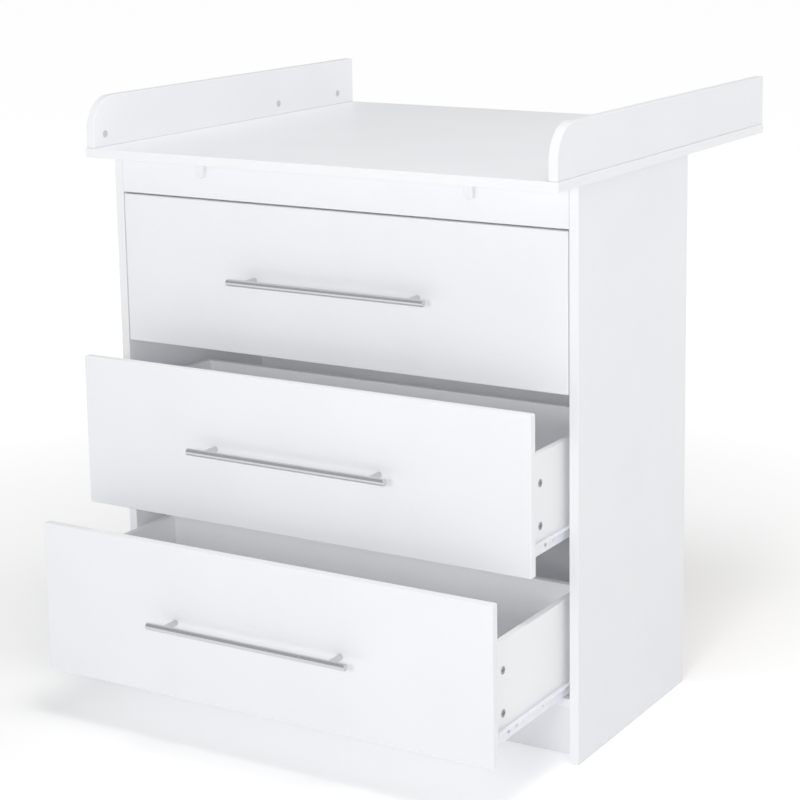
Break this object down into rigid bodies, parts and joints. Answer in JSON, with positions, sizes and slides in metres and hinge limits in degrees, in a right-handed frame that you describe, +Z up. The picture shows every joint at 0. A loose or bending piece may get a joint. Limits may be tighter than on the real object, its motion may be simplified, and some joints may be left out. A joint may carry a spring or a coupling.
{
  "type": "changing table",
  "caption": "White nursery chest of drawers with a changing board on top that overhangs front and back between low side boards; inset drawers on roller runners with steel bar handles.",
  "frame": {"origin": "on the floor, under the middle of the bounding box of the whole object with its drawers in the stored pose (top shut, middle half open, bottom open)", "axes": "+X to the right seen from the front, +Y to the back, +Z up; the drawer fronts face -Y and their shut face is at Y = -0.225 m"},
  "size_m": [0.906, 1.022, 1.0426],
  "materials": {
    "white_melamine": "white melamine on chipboard, matt with a fine pearl texture, ABS edge bands",
    "white_hardboard": "white lacquered hardboard, matt",
    "coated_steel": "white epoxy-coated sheet steel, semi-gloss",
    "nylon": "natural white nylon, satin",
    "stainless_steel": "brushed stainless steel, satin",
    "stop_block_plastic": "white polyethylene, matt"
  },
  "bodies": {
    "chest": {"side_panel_left": "white_melamine", "side_panel_right": "white_melamine", "carcass_top_panel": "white_melamine", "front_rail": "white_melamine", "bottom_panel": "white_melamine", "plinth_board": "white_melamine", "back_panel": "white_hardboard", "changing_board": "white_melamine", "changing_side_board_left": "white_melamine", "changing_side_board_right": "white_melamine", "stop_block_front_left": "stop_block_plastic", "stop_block_front_right": "stop_block_plastic", "stop_block_rear_left": "stop_block_plastic", "stop_block_rear_right": "stop_block_plastic", "cabinet_runner_top_left": "coated_steel", "cabinet_runner_top_right": "coated_steel", "cabinet_runner_middle_left": "coated_steel", "cabinet_runner_middle_right": "coated_steel", "cabinet_runner_bottom_left": "coated_steel", "cabinet_runner_bottom_right": "coated_steel"},
    "drawer_top": {"drawer_top_front": "white_melamine", "drawer_top_wall_left": "white_melamine", "drawer_top_wall_right": "white_melamine", "drawer_top_back": "white_melamine", "drawer_top_bottom": "white_hardboard", "drawer_top_handle": "stainless_steel", "drawer_top_runner_left": "coated_steel", "drawer_top_runner_right": "coated_steel"},
    "drawer_middle": {"drawer_middle_front": "white_melamine", "drawer_middle_wall_left": "white_melamine", "drawer_middle_wall_right": "white_melamine", "drawer_middle_back": "white_melamine", "drawer_middle_bottom": "white_hardboard", "drawer_middle_handle": "stainless_steel", "drawer_middle_runner_left": "coated_steel", "drawer_middle_runner_right": "coated_steel"},
    "drawer_bottom": {"drawer_bottom_front": "white_melamine", "drawer_bottom_wall_left": "white_melamine", "drawer_bottom_wall_right": "white_melamine", "drawer_bottom_back": "white_melamine", "drawer_bottom_bottom": "white_hardboard", "drawer_bottom_handle": "stainless_steel", "drawer_bottom_runner_left": "coated_steel", "drawer_bottom_runner_right": "coated_steel"},
    "cabinet_roller_top_left": {"cabinet_roller_top_left": "nylon"},
    "drawer_top_roller_left": {"drawer_top_roller_left": "nylon"},
    "cabinet_roller_top_right": {"cabinet_roller_top_right": "nylon"},
    "drawer_top_roller_right": {"drawer_top_roller_right": "nylon"},
    "cabinet_roller_middle_left": {"cabinet_roller_middle_left": "nylon"},
    "drawer_middle_roller_left": {"drawer_middle_roller_left": "nylon"},
    "cabinet_roller_middle_right": {"cabinet_roller_middle_right": "nylon"},
    "drawer_middle_roller_right": {"drawer_middle_roller_right": "nylon"},
    "cabinet_roller_bottom_left": {"cabinet_roller_bottom_left": "nylon"},
    "drawer_bottom_roller_left": {"drawer_bottom_roller_left": "nylon"},
    "cabinet_roller_bottom_right": {"cabinet_roller_bottom_right": "nylon"},
    "drawer_bottom_roller_right": {"drawer_bottom_roller_right": "nylon"}
  },
  "joints": [
    {"name": "drawer_top_slide", "type": "slide", "parent": "chest", "child": "drawer_top", "axis": [0, -1, 0], "range_m": [0, 0.25]},
    {"name": "drawer_middle_slide", "type": "slide", "parent": "chest", "child": "drawer_middle", "axis": [0, -1, 0], "range_m": [-0.124, 0.126]},
    {"name": "drawer_bottom_slide", "type": "slide", "parent": "chest", "child": "drawer_bottom", "axis": [0, -1, 0], "range_m": [-0.246, 0.004]},
    {"name": "cabinet_roller_top_left_spin", "type": "hinge", "parent": "chest", "child": "cabinet_roller_top_left", "pos_m": [-0.42775, -0.1947, 0.64665], "axis": [1, 0, 0], "range_deg": [0, 1688]},
    {"name": "drawer_top_roller_left_spin", "type": "hinge", "parent": "drawer_top", "child": "drawer_top_roller_left", "pos_m": [-0.42775, 0.097, 0.6458], "axis": [1, 0, 0], "range_deg": [0, 1688]},
    {"name": "cabinet_roller_top_right_spin", "type": "hinge", "parent": "chest", "child": "cabinet_roller_top_right", "pos_m": [0.42775, -0.1947, 0.64665], "axis": [1, 0, 0], "range_deg": [0, 1688]},
    {"name": "drawer_top_roller_right_spin", "type": "hinge", "parent": "drawer_top", "child": "drawer_top_roller_right", "pos_m": [0.42775, 0.097, 0.6458], "axis": [1, 0, 0], "range_deg": [0, 1688]},
    {"name": "cabinet_roller_middle_left_spin", "type": "hinge", "parent": "chest", "child": "cabinet_roller_middle_left", "pos_m": [-0.42775, -0.1947, 0.38415], "axis": [1, 0, 0], "range_deg": [-838, 852]},
    {"name": "drawer_middle_roller_left_spin", "type": "hinge", "parent": "drawer_middle", "child": "drawer_middle_roller_left", "pos_m": [-0.42775, -0.027, 0.3833], "axis": [1, 0, 0], "range_deg": [-838, 852]},
    {"name": "cabinet_roller_middle_right_spin", "type": "hinge", "parent": "chest", "child": "cabinet_roller_middle_right", "pos_m": [0.42775, -0.1947, 0.38415], "axis": [1, 0, 0], "range_deg": [-838, 852]},
    {"name": "drawer_middle_roller_right_spin", "type": "hinge", "parent": "drawer_middle", "child": "drawer_middle_roller_right", "pos_m": [0.42775, -0.027, 0.3833], "axis": [1, 0, 0], "range_deg": [-838, 852]},
    {"name": "cabinet_roller_bottom_left_spin", "type": "hinge", "parent": "chest", "child": "cabinet_roller_bottom_left", "pos_m": [-0.42775, -0.1947, 0.12165], "axis": [1, 0, 0], "range_deg": [-1661, 29]},
    {"name": "drawer_bottom_roller_left_spin", "type": "hinge", "parent": "drawer_bottom", "child": "drawer_bottom_roller_left", "pos_m": [-0.42775, -0.149, 0.1208], "axis": [1, 0, 0], "range_deg": [-1661, 29]},
    {"name": "cabinet_roller_bottom_right_spin", "type": "hinge", "parent": "chest", "child": "cabinet_roller_bottom_right", "pos_m": [0.42775, -0.1947, 0.12165], "axis": [1, 0, 0], "range_deg": [-1661, 29]},
    {"name": "drawer_bottom_roller_right_spin", "type": "hinge", "parent": "drawer_bottom", "child": "drawer_bottom_roller_right", "pos_m": [0.42775, -0.149, 0.1208], "axis": [1, 0, 0], "range_deg": [-1661, 29]}
  ],
  "couplings": [
    {"joint": "cabinet_roller_top_left_spin", "follows": "drawer_top_slide", "rad_per_m": 117.65},
    {"joint": "drawer_top_roller_left_spin", "follows": "drawer_top_slide", "rad_per_m": 117.65},
    {"joint": "cabinet_roller_top_right_spin", "follows": "drawer_top_slide", "rad_per_m": 117.65},
    {"joint": "drawer_top_roller_right_spin", "follows": "drawer_top_slide", "rad_per_m": 117.65},
    {"joint": "cabinet_roller_middle_left_spin", "follows": "drawer_middle_slide", "rad_per_m": 117.65},
    {"joint": "drawer_middle_roller_left_spin", "follows": "drawer_middle_slide", "rad_per_m": 117.65},
    {"joint": "cabinet_roller_middle_right_spin", "follows": "drawer_middle_slide", "rad_per_m": 117.65},
    {"joint": "drawer_middle_roller_right_spin", "follows": "drawer_middle_slide", "rad_per_m": 117.65},
    {"joint": "cabinet_roller_bottom_left_spin", "follows": "drawer_bottom_slide", "rad_per_m": 117.65},
    {"joint": "drawer_bottom_roller_left_spin", "follows": "drawer_bottom_slide", "rad_per_m": 117.65},
    {"joint": "cabinet_roller_bottom_right_spin", "follows": "drawer_bottom_slide", "rad_per_m": 117.65},
    {"joint": "drawer_bottom_roller_right_spin", "follows": "drawer_bottom_slide", "rad_per_m": 117.65}
  ]
}
